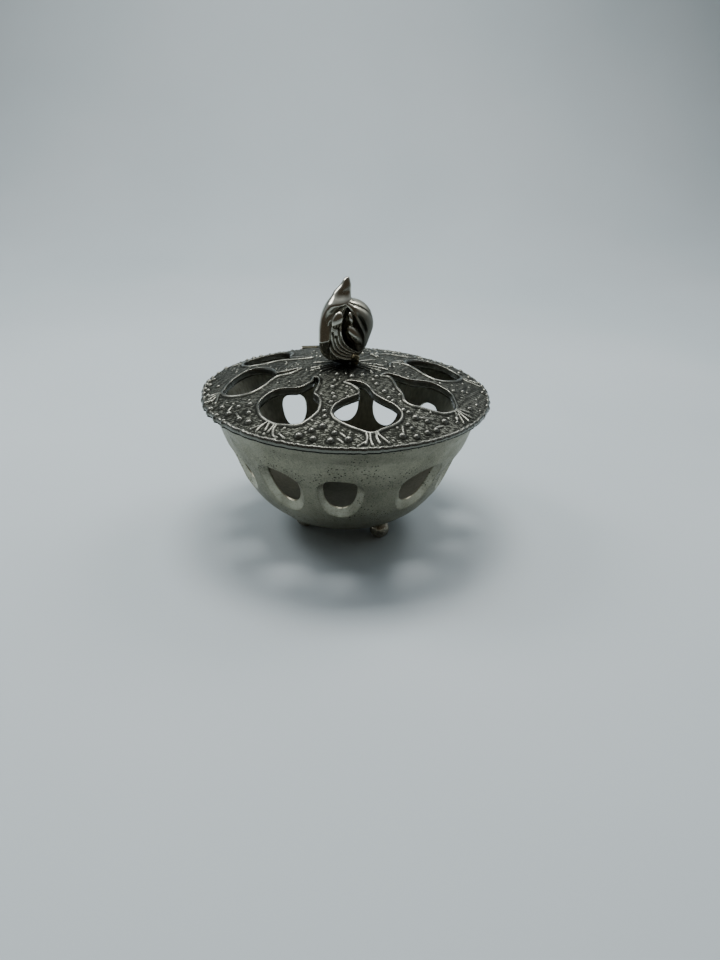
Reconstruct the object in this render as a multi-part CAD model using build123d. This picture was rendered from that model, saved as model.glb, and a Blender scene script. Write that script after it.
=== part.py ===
from build123d import *

import os
from math import cos, radians, sin, sqrt

# A small cast pewter bowl with a pierced wall, four ball feet and a hinged, domed, openwork lid.
# Millimetres. Z is up and 0 is the surface the feet stand on. The bowl's axis is the Z axis,
# the front is -Y and the hinge is at +Y. Azimuths are in degrees from the front, positive to +X.

# Bowl
BOWL_WALL = 2.6
BOWL_RIM_Z = 57.6
BOWL_BASE_Z = 4.0
BOWL_BASE_R = 12.0
BOWL_PROFILE = [
    (20.0, 5.2),
    (26.0, 7.4),
    (31.0, 10.2),
    (36.0, 14.4),
    (40.0, 19.0),
    (43.6, 24.5),
    (46.0, 30.0),
    (48.4, 36.0),
    (50.8, 41.0),
    (52.6, 45.5),
    (54.2, 50.5),
    (56.0, 54.0),
]
BOWL_RIM_R = 58.0

# Side holes: hand-cut, so their spacing is a little uneven.
HOLE_AZIMUTHS = [-13, 24, 54, 85, 115, 144, 170, 201, 230, 259, 288, 319]
HOLE_Z = 35.5
HOLE_WALL_R = 48.2
HOLE_TILT = 23.5
HOLE_WIDTH = 14.0
HOLE_HEIGHT = 17.0
BEVEL_WIDTH = 19.0
BEVEL_HEIGHT = 21.5
BEVEL_DROP = 1.2
BEVEL_DEPTH = 1.9

# Feet, soldered on by eye: the azimuth and the distance from the bowl's axis of each
FOOT_R = 4.3
FOOT_CENTRE_Z = 4.1
FEET = {
    "foot_front_right": (28, 24.5),
    "foot_back_right": (118, 22.5),
    "foot_back_left": (208, 22.5),
    "foot_front_left": (291, 20.0),
}

# Lid: top surface z = LID_EDGE_Z + LID_RISE * (1 - (r / LID_R) ** LID_POWER)
LID_R = 60.0
LID_EDGE_Z = 60.0
LID_RISE = 12.0
LID_POWER = 1.8
LID_THICK = 2.4
LID_BAND = 2.1
LID_BOTTOM_R = 59.2
LID_SEAT_R = 56.5

# Lid openings: a garlic bulb's outline, root outwards. u is the distance from the lid's axis
# along the opening's azimuth and v is across it. Each side of the belly is its own half-width
# times these shares, because no two openings were cut alike.
BULB_SIDE = [
    (50.6, 0.26),
    (49.0, 0.50),
    (47.2, 0.67),
    (44.7, 0.85),
    (42.0, 0.97),
    (39.0, 1.00),
    (36.5, 0.94),
    (34.0, 0.79),
    (32.3, 0.60),
]
BULB_ROOT_U = 51.6
NECK_U = 29.0
STALK_U = 24.0
# azimuth, belly half-width at -v and +v, neck centre and half-width,
# stalk centre and half-width, and the tip's u and v
BULBS = [
    (0, 12.5, 12.6, 2.0, 3.0, 1.6, 2.3, 18.7, -4.0),
    (-42, 12.8, 11.0, 0.0, 2.8, -0.4, 1.6, 19.5, -2.0),
    (-84, 14.5, 9.0, -0.4, 1.6, 0.2, 1.0, 20.3, -1.5),
    (-130, 12.5, 9.5, 1.6, 1.8, 1.2, 1.0, 18.5, -1.2),
    (45, 12.0, 11.4, 0.2, 3.6, 0.8, 2.6, 18.5, -0.8),
    (90, 11.0, 14.0, 3.0, 2.0, 3.6, 1.2, 22.5, 3.6),
]

# Hinge: a three-knuckle barrel across the back
HINGE_Y = 59.8
HINGE_Z = 60.0
BARREL_R = 1.8
BARREL_HALF = 11.2
MIDDLE_HALF = 3.6
KNUCKLE_GAP = 0.2
PIN_R = 0.8
RUNNING_FIT = 0.05
PIN_HEAD_R = 1.3
PIN_HEAD = 0.5
BARREL_CLEARANCE = 0.3
LID_NOTCH_Y = 57.6
LEAF_THICK = 1.0
SOLDER_GAP = 0.05
LID_LEAF_INNER_R = 50.5
LID_LEAF_HALF_ANGLE = 3.3
# the bowl's leaf in the YZ plane; its front is cut away by the bowl's wall
BOWL_LEAF_SECTION = [
    (57.8, 59.4),
    (60.6, 59.4),
    (60.4, 58.2),
    (57.0, 53.6),
    (55.2, 49.6),
    (54.0, 49.0),
    (50.0, 49.0),
    (50.0, 57.2),
    (57.8, 57.2),
]

# Finial and its stud
FINIAL_TURN = -11.0
STUD_R = 1.4
STUD_AT = (2.7, -1.8)
STUD_TOP_Z = 81.0
NUT_R = 3.4
NUT_THICK = 2.0
STUD_BELOW_NUT = 0.8
# height, centre across, half-width across and half-depth of each section
FINIAL_SECTIONS = [
    (72.2, -3.0, 2.6, 2.4),
    (74.2, -2.8, 5.6, 4.8),
    (77.0, -2.2, 8.0, 6.6),
    (81.0, -1.5, 9.6, 7.8),
    (87.0, -0.8, 10.7, 8.6),
    (92.5, -0.4, 10.3, 8.2),
    (96.5, -0.7, 8.4, 6.8),
    (99.5, -1.8, 5.5, 4.8),
    (102.5, -1.9, 3.3, 3.2),
    (105.5, -0.9, 1.9, 1.9),
    (107.5, -0.6, 0.7, 0.7),
]


def lid_top(r):
    return LID_EDGE_Z + LID_RISE * (1 - (r / LID_R) ** LID_POWER)


def turned(azimuth):
    """The rotation that carries the front (-Y) to an azimuth."""
    return Rotation(0, 0, azimuth)


def bowl_outline():
    """The bowl's outer profile in the XZ plane, from the base to the rim."""
    points = [(BOWL_BASE_R, 0, BOWL_BASE_Z)]
    points += [(r, 0, z) for r, z in BOWL_PROFILE]
    points.append((BOWL_RIM_R, 0, BOWL_RIM_Z))
    return Spline(*points, tangents=[(1, 0, 0.02), (0.5, 0, 1)])


def solid_of_revolution(edges, arc=360):
    return revolve(make_face(edges), Axis.Z, arc)


def inner_wall(outline):
    """Points on the bowl's inner surface, one wall thickness inside the outline."""
    points = []
    for i in range(17):
        at = outline @ (i / 16)
        along = outline % (i / 16)
        points.append((at.X - along.Z * BOWL_WALL, 0, at.Z + along.X * BOWL_WALL))
    return points


def bowl_block():
    """The bowl before it is hollowed: its outer shape, filled up to the rim."""
    wall = bowl_outline()
    axis_low = (0, 0, BOWL_BASE_Z)
    axis_high = (0, 0, BOWL_RIM_Z)
    edges = [
        Line(axis_low, wall @ 0),
        wall,
        Line(wall @ 1, axis_high),
        Line(axis_high, axis_low),
    ]
    return solid_of_revolution(edges)


def bowl_hollow():
    """The inside of the bowl, open past the rim."""
    inner = inner_wall(bowl_outline())
    above = BOWL_RIM_Z + 5
    inner.append((inner[-1][0] + 0.8, 0, BOWL_RIM_Z + 1))
    curve = Spline(*inner)
    low = curve @ 0
    high = curve @ 1
    edges = [
        Line((0, 0, low.Z), low),
        curve,
        Line(high, (high.X, 0, above)),
        Line((high.X, 0, above), (0, 0, above)),
        Line((0, 0, above), (0, 0, low.Z)),
    ]
    return solid_of_revolution(edges)


def side_hole(azimuth):
    """One hole, square to the wall, with a bevel that is deepest at its lower edge."""
    tilt = radians(HOLE_TILT)
    outward = (0, -cos(tilt), -sin(tilt))
    wall = Plane(origin=(0, -HOLE_WALL_R, HOLE_Z), x_dir=(1, 0, 0), z_dir=outward)
    window = Ellipse(HOLE_WIDTH / 2, HOLE_HEIGHT / 2)
    through = extrude(wall.offset(-3 * BOWL_WALL) * window, 5 * BOWL_WALL)
    mouth = wall.offset(0.6) * Pos(0, -BEVEL_DROP) * Ellipse(BEVEL_WIDTH / 2, BEVEL_HEIGHT / 2)
    throat = wall.offset(-BEVEL_DEPTH) * window
    return turned(azimuth) * (through + loft([mouth.face(), throat.face()]))


def make_bowl():
    bowl = bowl_block() - bowl_hollow()
    for azimuth in HOLE_AZIMUTHS:
        bowl -= side_hole(azimuth)
    return bowl


def make_foot(azimuth, distance, block):
    ball = Pos(0, -distance, FOOT_CENTRE_Z) * Sphere(FOOT_R)
    below = Pos(0, -distance, -FOOT_R) * Box(4 * FOOT_R, 4 * FOOT_R, 2 * FOOT_R)
    return turned(azimuth) * (ball - below) - block


def lid_section():
    """Half of the lid's section: domed top, upright edge band and a flat seat."""
    steps = [LID_R * i / 12 for i in range(13)]
    top = Spline(*[(r, 0, lid_top(r)) for r in steps])
    steps = [LID_SEAT_R * i / 10 for i in range(11)]
    under = Spline(*[(r, 0, lid_top(r) - LID_THICK) for r in steps])
    seat_z = LID_EDGE_Z - LID_BAND
    edges = [
        top,
        Line(top @ 1, (LID_BOTTOM_R, 0, seat_z)),
        Line((LID_BOTTOM_R, 0, seat_z), (LID_SEAT_R, 0, seat_z)),
        Line((LID_SEAT_R, 0, seat_z), under @ 1),
        under,
        Line(under @ 0, top @ 0),
    ]
    return edges


def bulb_opening(azimuth, minus, plus, neck, neck_half, stalk, stalk_half, tip_u, tip_v):
    """A tall prism with a garlic bulb's outline, to cut one opening through the lid."""
    root = (0, -BULB_ROOT_U)
    tip = (tip_v, -tip_u)
    left = [(-minus * share, -u) for u, share in BULB_SIDE]
    right = [(plus * share, -u) for u, share in BULB_SIDE]
    left += [(neck - neck_half, -NECK_U), (stalk - stalk_half, -STALK_U)]
    right += [(neck + neck_half, -NECK_U), (stalk + stalk_half, -STALK_U)]
    outline = make_face([Spline(root, *left, tip), Spline(tip, *reversed(right), root)])
    return turned(azimuth) * Pos(0, 0, LID_EDGE_Z - 10) * extrude(outline, 30)


def barrel(half_from, half_to, radius):
    """A cylinder on the hinge axis between two places along X."""
    middle = (half_from + half_to) / 2
    return Pos(middle, HINGE_Y, HINGE_Z) * Rotation(0, 90, 0) * Cylinder(radius, half_to - half_from)


def stud_rod(radius, low, high):
    return Pos(STUD_AT[0], STUD_AT[1], (low + high) / 2) * Cylinder(radius, high - low)


def make_lid():
    lid = solid_of_revolution(lid_section())
    for bulb in BULBS:
        lid -= bulb_opening(*bulb)
    notch_width = 2 * (BARREL_HALF + PIN_HEAD + 2 * BARREL_CLEARANCE)
    lid -= Pos(0, LID_NOTCH_Y + 5, LID_EDGE_Z) * Box(notch_width, 10, 10)
    return lid - stud_rod(STUD_R, LID_EDGE_Z, STUD_TOP_Z)


def make_lid_leaf():
    """The middle knuckle and the leaf that lies on the lid's back edge."""
    outer_r = HINGE_Y - 0.8
    steps = [LID_LEAF_INNER_R + (outer_r - LID_LEAF_INNER_R) * i / 4 for i in range(5)]
    under = Spline(*[(r, 0, lid_top(r) + SOLDER_GAP) for r in steps])
    over = Spline(*[(r, 0, lid_top(r) + LEAF_THICK) for r in steps])
    edges = [under, Line(under @ 1, over @ 1), over, Line(over @ 0, under @ 0)]
    leaf = solid_of_revolution(edges, 2 * LID_LEAF_HALF_ANGLE)
    leaf = Rotation(0, 0, 90 - LID_LEAF_HALF_ANGLE) * leaf
    leaf += barrel(-MIDDLE_HALF, MIDDLE_HALF, BARREL_R)
    return leaf - barrel(-2 * MIDDLE_HALF, 2 * MIDDLE_HALF, PIN_R + RUNNING_FIT)


def make_bowl_leaf(block):
    """The two outer knuckles and the leaf that runs down the bowl's wall below them."""
    section = Polyline(*[(0, y, z) for y, z in BOWL_LEAF_SECTION], close=True)
    leaf = Pos(-BARREL_HALF, 0, 0) * extrude(make_face(section), 2 * BARREL_HALF, dir=(1, 0, 0))
    leaf += barrel(-BARREL_HALF, BARREL_HALF, BARREL_R)
    inner_end = MIDDLE_HALF + KNUCKLE_GAP
    leaf -= barrel(-inner_end, inner_end, BARREL_R + BARREL_CLEARANCE)
    return leaf - block - barrel(-2 * BARREL_HALF, 2 * BARREL_HALF, PIN_R)


def make_pin():
    """The pin, with both ends peened over the outer knuckles."""
    end = BARREL_HALF + PIN_HEAD
    pin = barrel(-end, end, PIN_R)
    pin += barrel(-end, -BARREL_HALF, PIN_HEAD_R)
    return pin + barrel(BARREL_HALF, end, PIN_HEAD_R)


def make_finial():
    sections = []
    for z, across, half_width, half_depth in FINIAL_SECTIONS:
        sections.append((Pos(across, 0, z) * Ellipse(half_width, half_depth)).face())
    return turned(FINIAL_TURN) * loft(sections) - stud_rod(STUD_R, LID_EDGE_Z, STUD_TOP_Z)


def nut_top():
    """Where the lid's underside is over the nut's rim farthest from the axis."""
    reach = sqrt(STUD_AT[0] ** 2 + STUD_AT[1] ** 2) + NUT_R
    return lid_top(reach) - LID_THICK


def make_nut():
    low = nut_top() - NUT_THICK
    return stud_rod(NUT_R, low, nut_top()) - stud_rod(STUD_R, low - 1, nut_top() + 1)


def make_stud():
    return stud_rod(STUD_R, nut_top() - NUT_THICK - STUD_BELOW_NUT, STUD_TOP_Z)


def main():
    os.makedirs("parts", exist_ok=True)
    block = bowl_block()
    nodes = {
        "bowl_body": make_bowl(),
        "bowl_hinge_leaf": make_bowl_leaf(block),
        "hinge_pin": make_pin(),
        "lid_plate": make_lid(),
        "lid_hinge_leaf": make_lid_leaf(),
        "finial_bulb": make_finial(),
        "finial_stud": make_stud(),
        "finial_nut": make_nut(),
    }
    for name, (azimuth, distance) in FEET.items():
        nodes[name] = make_foot(azimuth, distance, block)
    for name, shape in nodes.items():
        export_step(shape, f"parts/{name}.step")


main()
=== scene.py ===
from math import cos, pi, radians, sin

import bmesh
import bpy
import numpy as np
from mathutils import Matrix, Vector
from mathutils.geometry import delaunay_2d_cdt


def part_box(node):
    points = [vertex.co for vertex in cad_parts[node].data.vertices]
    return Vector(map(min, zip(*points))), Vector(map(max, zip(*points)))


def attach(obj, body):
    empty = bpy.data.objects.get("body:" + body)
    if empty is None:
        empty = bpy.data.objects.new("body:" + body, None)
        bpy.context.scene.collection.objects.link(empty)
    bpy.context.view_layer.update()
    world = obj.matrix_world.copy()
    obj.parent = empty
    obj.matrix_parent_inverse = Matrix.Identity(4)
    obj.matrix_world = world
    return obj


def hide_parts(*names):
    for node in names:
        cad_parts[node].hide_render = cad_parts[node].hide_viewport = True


# The looks of a small pewter bowl with a pierced wall and a hinged, openwork, domed lid.
# Lengths here are millimetres in the CAD frame; meshes are scaled to metres as they are made.
# Azimuths are in degrees from the front (-Y), positive to +X.

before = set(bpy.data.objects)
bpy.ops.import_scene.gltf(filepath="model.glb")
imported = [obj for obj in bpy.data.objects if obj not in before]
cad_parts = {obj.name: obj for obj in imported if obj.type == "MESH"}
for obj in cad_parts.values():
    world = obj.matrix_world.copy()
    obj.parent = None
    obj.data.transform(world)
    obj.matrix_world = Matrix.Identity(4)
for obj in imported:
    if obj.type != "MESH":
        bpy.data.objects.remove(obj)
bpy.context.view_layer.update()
MM = 0.001
RNG = np.random.default_rng(11)

# ---------------------------------------------------------------- driving dimensions

CAMERA_AZIMUTH = -11.0

bowl_low, bowl_high = (np.array(corner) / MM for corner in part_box("bowl_body"))
lid_low, lid_high = (np.array(corner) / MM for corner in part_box("lid_plate"))
RIM_R = bowl_high[0]
RIM_Z = bowl_high[2]
BASE_Z = bowl_low[2]
LID_R = lid_high[0]
LID_BOTTOM_Z = lid_low[2]
LID_BAND = 2.1
LID_EDGE_Z = LID_BOTTOM_Z + LID_BAND
LID_RISE = lid_high[2] - LID_EDGE_Z
LID_POWER = 1.8
LID_THICK = 2.4
NOTCH_Y = 57.6
NOTCH_HALF = 12.3
# the lid's hinge leaf lies on this strip, which is left plain
LEAF_HALF = 4.6
LEAF_Y = 47.0
# the lid is a little warped: at the front right it stands clear of the bowl's rim
WARP = 0.6
WARP_AZIMUTH = 30
WARP_SPREAD = 26

WALL = 2.6
# radius and height of the bowl's outer profile between the base and the rim
BOWL_PROFILE = [
    (0.0, BASE_Z),
    (6.0, BASE_Z),
    (12.0, BASE_Z + 0.1),
    (20.0, 5.2),
    (26.0, 7.4),
    (31.0, 10.2),
    (36.0, 14.4),
    (40.0, 19.0),
    (43.6, 24.5),
    (46.0, 30.0),
    (48.4, 36.0),
    (50.8, 41.0),
    (52.6, 45.5),
    (54.2, 50.5),
    (56.0, 54.0),
    (RIM_R, RIM_Z),
]
# the bottom inside this radius is a plain fan of triangles
CAP_R = 6.0
WALL_AROUND = 420
WALL_UP = 69
OUTER_STEP = 0.72
INNER_STEP = 1.1

# Side holes: azimuth, half-width, height above and below the centre, mouth's reach left and
# right, lean (how far the top is to the right, per unit of height) and the top edge's slant
HOLE_Z = 35.5
HOLES = [
    (-13, 6.9, 6.5, 10.6, 2.0, 2.6, 0.0, -0.03),
    (26, 7.2, 8.4, 10.2, 2.4, 3.0, 0.1, 0.24),
    (55, 6.8, 7.8, 8.6, 2.6, 2.8, 0.1, 0.15),
    (85, 7.2, 7.8, 8.8, 2.2, 2.8, 0.0, -0.1),
    (115, 6.9, 8.0, 8.5, 2.6, 2.6, -0.05, 0.05),
    (144, 7.1, 7.7, 8.7, 2.8, 2.2, 0.06, 0.0),
    (170, 7.0, 7.9, 8.5, 2.4, 2.6, 0.0, -0.12),
    (202, 6.7, 6.5, 8.6, 2.6, 2.4, -0.06, 0.06),
    (235.5, 6.0, 7.4, 8.4, 2.2, 2.6, 0.04, 0.0),
    (263, 6.2, 7.7, 8.6, 2.2, 2.4, 0.0, -0.08),
    (288, 6.8, 8.0, 8.6, 3.0, 2.4, -0.08, -0.1),
    (319, 6.6, 8.2, 10.0, 3.4, 2.4, -0.08, -0.22),
]
HOLE_TOP_POWER = 0.78
HOLE_LOW_POWER = 0.92
BEVEL_ABOVE = 1.4
BEVEL_BELOW = 3.6
BEVEL_DEPTH = 1.9
BEVEL_POWER = 0.95
BEVEL_REACH = 18
# azimuth between two holes at the back, where the wall is cut to unroll it
SEAM = -174.5

# Lid openings: the centre line of the wire round each garlic bulb, as (distance from the lid's
# axis along the azimuth, distance across it), from the root along one side to the tip and back
BULBS = {
    0: [
        (52.3, -1.2), (50.9, -4.0), (47.2, -8.8), (43.4, -12.0), (39.0, -13.1), (35.4, -11.7),
        (32.3, -8.1), (30.4, -4.2), (28.9, -1.2), (25.9, -0.3), (22.6, -1.6), (19.0, -4.6),
        (18.9, -1.0), (21.0, 2.6), (24.3, 4.4), (29.0, 5.3), (32.6, 7.7), (36.4, 11.3),
        (40.6, 13.1), (45.3, 11.8), (48.7, 8.0), (50.8, 3.4), (52.2, 0.6),
    ],
    -42: [
        (52.2, 0.4), (50.2, -6.2), (46.4, -10.9), (42.5, -13.4), (37.2, -13.5), (33.4, -12.1),
        (31.3, -9.2), (29.6, -4.8), (26.6, -3.0), (22.4, -2.5), (19.6, -3.4), (19.3, -1.6),
        (22.2, 0.8), (26.4, 2.5), (30.1, 3.8), (31.9, 7.0), (35.6, 9.7), (40.2, 11.5),
        (45.4, 11.1), (49.4, 9.6), (51.3, 5.4),
    ],
    -84: [
        (52.2, -0.2), (50.4, -4.2), (47.7, -9.2), (44.0, -13.4), (39.6, -16.4), (35.6, -16.6),
        (32.4, -13.8), (30.0, -8.4), (28.9, -2.6), (24.0, -1.5), (20.0, -1.6), (20.1, -0.4),
        (24.6, 1.6), (29.8, 1.2), (33.2, 3.6), (37.4, 7.4), (42.0, 9.1), (46.8, 8.0),
        (50.6, 4.6),
    ],
    -130: [
        (52.4, -1.0), (50.4, -5.4), (46.0, -9.8), (41.0, -12.8), (36.6, -12.2), (32.6, -8.6),
        (29.6, -2.4), (25.0, -0.4), (20.4, -1.2), (18.0, -1.8), (18.2, -0.4), (22.4, 1.8),
        (27.0, 3.2), (31.6, 4.4), (36.0, 8.0), (41.6, 9.8), (46.6, 8.6), (50.6, 4.6),
    ],
    45: [
        (51.2, -1.0), (49.6, -6.4), (46.2, -9.0), (41.8, -11.1), (38.2, -12.7), (35.0, -12.0),
        (31.8, -8.4), (27.8, -5.8), (24.0, -2.3), (20.8, -0.4), (18.0, -2.2), (18.3, 1.4),
        (21.8, 3.4), (27.4, 4.8), (30.6, 8.4), (34.0, 11.5), (39.0, 12.0), (43.4, 10.8),
        (47.6, 6.2), (50.6, 2.2),
    ],
    90: [
        (50.8, 0.6), (47.9, -5.0), (44.2, -8.8), (39.4, -11.3), (35.2, -11.6), (32.0, -8.8),
        (30.0, -4.8), (27.6, 0.6), (26.4, 2.6), (26.8, 7.0), (30.2, 11.8), (34.6, 14.2),
        (40.0, 14.9), (45.2, 13.0), (49.0, 8.2),
    ],
}
WIRE_R = 0.72
WIRE_RISE = 0.8
WIRE_TO_EDGE = 0.35
LID_TOP_STEP = 0.37
LID_UNDER_STEP = 1.1

# Relief that isn't round an opening: for each azimuth, lines of wire as (along it, across it)
ROOTS = {
    0: [
        [(52.2, -2.6), (54.5, -2.7), (57.4, -3.8)],
        [(56.3, -3.5), (57.2, -5.0), (58.2, -6.8)],
        [(52.4, -1.2), (55.2, -1.7), (58.4, -1.4)],
        [(51.6, -0.4), (52.6, 0.9), (54.8, 0.8), (57.6, 1.3)],
        [(51.2, 1.9), (53.0, 1.7), (54.6, 2.6), (57.9, 4.8)],
    ],
    -42: [
        [(51.4, -2.3), (55.2, -3.3), (57.6, -3.3)],
        [(54.4, -3.5), (57.2, -6.0)],
        [(52.6, -1.4), (56.2, -0.4)],
        [(51.4, 1.0), (56.6, 1.3)],
        [(51.6, 1.9), (55.0, 2.3), (57.4, 4.2), (57.9, 6.0)],
        [(55.8, 5.6), (57.2, 8.8)],
    ],
    -84: [
        [(52.6, -1.6), (57.0, -2.6)],
        [(53.0, -0.8), (55.4, 1.6), (57.0, 3.4)],
        [(53.6, -0.3), (55.0, 4.0), (55.9, 6.4)],
        [(52.8, -1.2), (57.8, 0.4)],
    ],
    -130: [
        [(52.6, 0.0), (57.4, -2.2)],
        [(52.8, 0.4), (57.6, 1.4)],
        [(52.6, 0.8), (56.6, 4.2)],
    ],
    45: [
        [(50.6, -0.4), (52.9, -2.4), (55.2, -6.2)],
        [(50.8, 1.1), (54.1, 1.1), (57.5, 1.8)],
        [(52.8, -0.9), (57.2, -4.6)],
        [(51.0, 0.4), (57.8, -1.4)],
        [(50.8, 1.8), (55.4, 4.6)],
    ],
    90: [
        [(50.8, -1.4), (53.6, -3.8), (57.4, -5.2)],
        [(51.0, 0.0), (57.8, -1.2)],
        [(50.8, 1.0), (55.8, 3.6)],
    ],
    # the stalk of the bulb on the right, and the solid bulb left in relief behind it
    91: [
        [(28.0, -0.6), (25.2, 2.6), (21.5, 2.6), (18.9, 1.0), (17.6, -3.2)],
        [(27.0, 7.2), (23.2, 5.6), (19.8, 2.8)],
    ],
    137: [
        [
            (50.6, -1.0), (46.0, -8.0), (40.0, -10.6), (34.0, -8.6), (30.2, -3.0), (24.0, -1.4),
            (19.4, -2.2), (22.6, 1.8), (29.6, 2.6), (34.6, 8.4), (40.6, 10.4), (46.4, 7.6),
            (50.6, 1.0),
        ],
        [(50.8, -0.6), (54.2, -2.6), (57.4, -3.4)],
        [(50.9, 0.2), (57.6, 0.8)],
        [(50.8, 0.8), (54.6, 3.0), (57.2, 4.6)],
    ],
}
ROOT_R = 0.5
ROOT_RISE = 0.7
# Strands that spread from the finial's foot: azimuth and distance of each end
STRANDS = [
    (-88, 6.0, -82, 15.5), (-70, 6.5, -74, 16.5), (-57, 7.0, -61, 14.0), (-44, 7.5, -47, 12.5),
    (-15, 8.0, -13, 12.0), (36, 6.0, 40, 12.5), (52, 6.0, 53, 15.0), (67, 5.5, 66, 17.0),
    (84, 5.0, 80, 15.0), (108, 5.0, 112, 14.0), (-112, 6.0, -108, 14.0),
]
STRAND_R = 0.45

# The largest beads: azimuth, distance from the axis, radius
BEADS = [
    (-107, 57.4, 1.1), (-100, 57.6, 1.1), (-94, 57.7, 1.0), (-88, 57.7, 1.0), (-81, 57.7, 1.0),
    (-95, 53.4, 0.8), (-71, 55.6, 1.2), (-64, 55.9, 1.3), (-65, 51.2, 1.1), (-62, 47.5, 1.1),
    (-56.7, 51.3, 1.1), (-56.8, 55.7, 1.2), (-51.8, 55.3, 1.35), (-28, 13.4, 1.0),
    (-26, 18.6, 0.8), (-24.3, 24.1, 1.0), (-21.5, 28.7, 0.8), (-19.4, 31.2, 0.9),
    (-20.6, 34.8, 1.0), (-22.4, 40.6, 1.0), (-21.4, 43.8, 1.0), (-21, 49.3, 1.35),
    (-24.8, 51.9, 1.15), (-22.9, 56.2, 1.35), (-28.6, 55.6, 1.5), (-16.5, 56.4, 1.45),
    (-15.4, 52.4, 1.2), (-10, 55.4, 1.4), (-87, 11.5, 0.8), (-72, 12.7, 0.8), (-10, 30, 0.7),
    (-3.2, 14.6, 1.1), (14.9, 14.5, 1.1), (31, 17.7, 1.1), (21.7, 19.3, 0.8), (19.7, 23, 1.0),
    (19.4, 29, 1.1), (18.3, 33.2, 0.9), (18.7, 35.9, 1.05), (27.5, 33, 0.8), (20, 42, 1.0),
    (21.3, 44, 1.05), (22.1, 47.4, 1.3), (25.8, 50.6, 1.05), (33, 53.4, 1.3), (16.1, 50.1, 1.0),
    (16.6, 52.2, 0.9), (10.8, 55.3, 1.4), (15.9, 56.7, 1.2), (21.3, 55.9, 1.15),
    (25.7, 55.8, 1.1), (40.3, 54.3, 0.9), (37.9, 56, 0.8), (53, 54.2, 1.05), (59.6, 55.7, 0.9),
    (64.1, 45.1, 0.9), (67.8, 48.7, 1.0), (99.2, 53.4, 1.1), (95.3, 56.4, 1.05), (77, 57.6, 1.0),
    (136, 19.9, 1.1), (125, 18.6, 1.1), (59.3, 13.7, 1.0), (77.2, 11.2, 0.9), (34.4, 14, 0.9),
]
# Rows of beads along the lid's edge: azimuths of the first and last, and their radius
EDGE_BEADS = [(-124, -58, 1.15), (64, 130, 0.85), (-164, -128, 0.85), (134, 164, 0.75)]
EDGE_BEAD_SPACING = 5.5
# Short rods that join beads: azimuth and distance of each end
RODS = [
    (13.2, 50.4, 11.6, 54.4), (26.0, 54.6, 30.4, 55.0), (-14.0, 55.0, -12.0, 56.8),
    (-13.2, 52.0, -10.6, 54.6), (23.6, 47.6, 29.4, 50.4), (-61.4, 54.0, -58.6, 54.8),
    (-68.0, 52.6, -66.4, 54.8),
]
ROD_R = 0.42
ROD_RISE = 0.6
# Small beads, scattered between the others: places tried, and smallest and largest radius
BEAD_TRIES = 1400
SMALL_BEADS = (0.3, 0.62)
BACK_Y = 15

# Finial, seen from the front: x across and z above the lid's edge. Its skins are bands between
# the hollow's lip and the outline, and all of them run from the neck down to the root.
FINIAL_MIDDLE = (2.0, 26.6)
FINIAL_OUTLINE = [
    (9.3, 25.3), (10.2, 28.4), (9.9, 31.4), (8.4, 35.0), (5.3, 37.7), (1.6, 38.9),
    (-2.6, 39.4), (-6.6, 38.4), (-9.2, 35.2), (-11.0, 31.0), (-11.5, 26.6), (-11.2, 21.2),
    (-9.9, 16.8), (-7.4, 14.0), (-4.2, 12.8), (-0.8, 12.5), (2.2, 13.6), (5.0, 16.6),
    (7.6, 20.8),
]
FINIAL_LIP = [
    (6.7, 25.0), (5.8, 28.0), (4.0, 31.2), (2.0, 33.8), (-0.5, 36.4), (-1.7, 33.4),
    (-2.3, 30.2), (-2.5, 27.0), (-1.7, 24.0), (0.0, 21.6), (2.2, 20.0), (4.6, 19.3),
    (6.3, 21.2),
]
# Grooves between the bands: share of the way from the lip to the outline (at the top), depth, the
# turn (degrees anticlockwise from the right) from which it is cut, and the share gained per
# quarter turn
LEFT_BANDS = [(0.12, 0.8, 60, 0), (0.26, 1.0, 188, 0), (0.4, 0.8, 176, 0), (0.54, 1.0, 150, 0)]
RIGHT_BANDS = [(0.7, 1.0, 0, -0.42)]
BACK_BANDS = [(0.2, 0.7, 0, 0), (0.42, 0.8, 0, 0), (0.63, 0.8, 0, 0), (0.84, 0.8, 0, 0)]
GROOVE_HALF = 0.05
# the dark slit on the right: share, half-width as a share, depth, middle turn, half its turn
SLIT = (0.3, 0.11, 2.4, 42.0, 30.0)
FINIAL_FRONT = 7.8
FINIAL_BACK = 8.2
HOLLOW_DEPTH = 5.2
# turns where its left side begins and ends, each followed by how many degrees the change takes
LEFT_SIDE = (88, 18, 292, 12)
# powers that round the bulb's profile: outwards, and to the front and back
ROUND_OUT = 0.9
ROUND_UP = 0.75
FINIAL_COLUMNS = 420
HOLLOW_ROWS = 22
FRONT_ROWS = 96
BACK_ROWS = 72
FINIAL_VOXEL = 0.2
# The stalk runs down into the outer lobe on the left: height, centre across, centre in depth
# (front negative), half-width, half-depth
STALK = [
    (14.4, -6.4, 0.0, 1.4, 3.4),
    (18.0, -8.6, -0.7, 2.1, 5.5),
    (22.6, -9.2, -1.2, 2.5, 6.9),
    (24.4, -9.2, -1.0, 2.6, 6.7),
    (28.0, -9.0, -0.7, 2.7, 5.9),
    (31.0, -8.4, -0.4, 2.9, 5.3),
    (33.6, -7.5, -0.5, 3.1, 5.0),
    (35.6, -6.0, -0.8, 3.8, 5.1),
    (37.3, -4.4, -1.2, 4.5, 5.1),
    (38.7, -3.4, -1.1, 4.5, 4.6),
    (40.1, -2.9, -0.8, 3.9, 3.8),
    (41.7, -2.5, -0.4, 3.4, 3.1),
    (44.3, -1.3, 0.0, 2.2, 2.1),
    (46.2, -0.9, 0.0, 1.4, 1.4),
    (47.3, -0.5, 0.0, 0.75, 0.75),
]
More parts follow.
